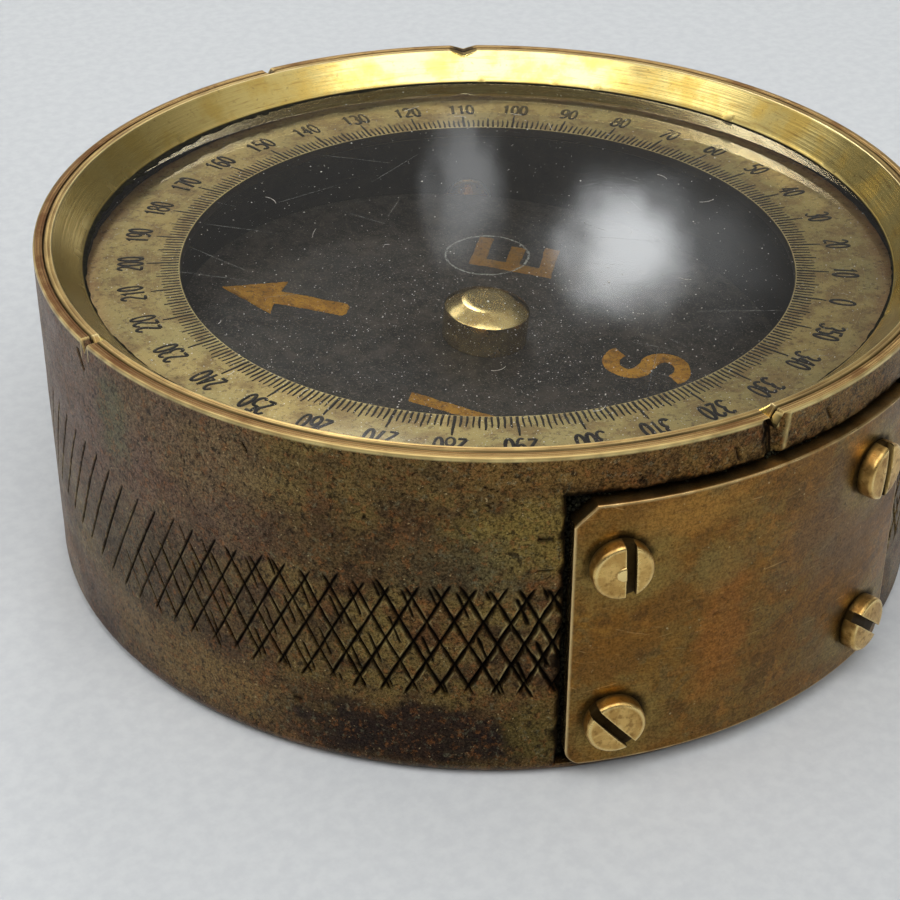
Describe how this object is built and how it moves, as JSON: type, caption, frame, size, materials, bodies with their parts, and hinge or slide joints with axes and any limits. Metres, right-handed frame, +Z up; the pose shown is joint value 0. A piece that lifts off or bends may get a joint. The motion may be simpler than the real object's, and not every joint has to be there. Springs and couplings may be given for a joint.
{
  "type": "marching compass",
  "caption": "Dry-card marching compass: round brass drum with knurled band, screwed side plate, flat glass, degree ring, floating black card and a card lock knob.",
  "frame": {"origin": "centre of the drum's underside, on the drum's axis, in the plane it rests on", "axes": "+Z up along the drum's axis through the pivot point; +Y along the sight line, from the deep rim notch over the side plate at -Y to the narrow notch on the far rim; +X to the right of that line"},
  "size_m": [0.062, 0.0628, 0.0238],
  "materials": {
    "case_brass": "patinated dark olive-brown brass, fine turning marks, hand-cut knurled band",
    "plate_brass": "golden-brown brass with orange and olive tarnish",
    "screw_brass": "worn bright brass with dark slots",
    "bezel_brass": "polished yellow brass",
    "ring_brass": "satin khaki brass, black-filled engraving",
    "cap_brass": "polished brass",
    "inner_brass": "turned brass",
    "knob_brass": "worn turned brass",
    "needle_steel": "polished hardened steel",
    "magnet_steel": "blued steel",
    "glass": "clear flat glass, dusty and lightly scratched",
    "packing": "dark packing ring",
    "card_black": "black varnish with dust",
    "luminous_paint": "aged ochre luminous paint",
    "jewel": "polished red jewel"
  },
  "bodies": {
    "case": {"case_body": "case_brass", "base_plate": "case_brass", "base_screws": "screw_brass", "side_plate": "plate_brass", "side_plate_screws": "screw_brass", "bezel_ring": "bezel_brass", "cover_glass": "glass", "glass_packing_ring": "packing", "degree_ring": "ring_brass", "pivot_post": "inner_brass", "pivot_needle": "needle_steel", "lever_bracket": "inner_brass", "lever_pin": "needle_steel", "bracket_screws": "inner_brass"},
    "knob": {"lock_knob": "knob_brass", "knob_nut": "inner_brass", "knob_spring_washer": "needle_steel"},
    "lever": {"lock_lever": "inner_brass"},
    "lifter": {"lifter_sleeve": "inner_brass"},
    "card": {"compass_card": "card_black", "north_arrow_paint": "luminous_paint", "letter_paint": "luminous_paint", "card_cap": "cap_brass", "cap_jewel": "jewel", "cap_nut": "inner_brass", "card_magnets": "magnet_steel", "magnet_clips": "inner_brass"}
  },
  "joints": [
    {"name": "lock_knob_slide", "type": "slide", "parent": "case", "child": "knob", "axis": [0, 0, -1], "range_m": [0, 0.0035]},
    {"name": "lock_lever_rock", "type": "hinge", "parent": "case", "child": "lever", "pos_m": [0.006, 0.01039, 0.0074], "axis": [-0.866, 0.5, 0], "range_deg": [0, 17]},
    {"name": "lifter_rise", "type": "slide", "parent": "case", "child": "lifter", "axis": [0, 0, 1], "range_m": [0, 0.0035]},
    {"name": "card_spin", "type": "hinge", "parent": "lifter", "child": "card", "pos_m": [0, 0, 0.0143], "axis": [0, 0, 1], "continuous": true}
  ],
  "couplings": [
    {"joint": "lock_lever_rock", "follows": "lock_knob_slide", "rad_per_m": 84.835},
    {"joint": "lifter_rise", "follows": "lock_knob_slide", "ratio": 1}
  ]
}
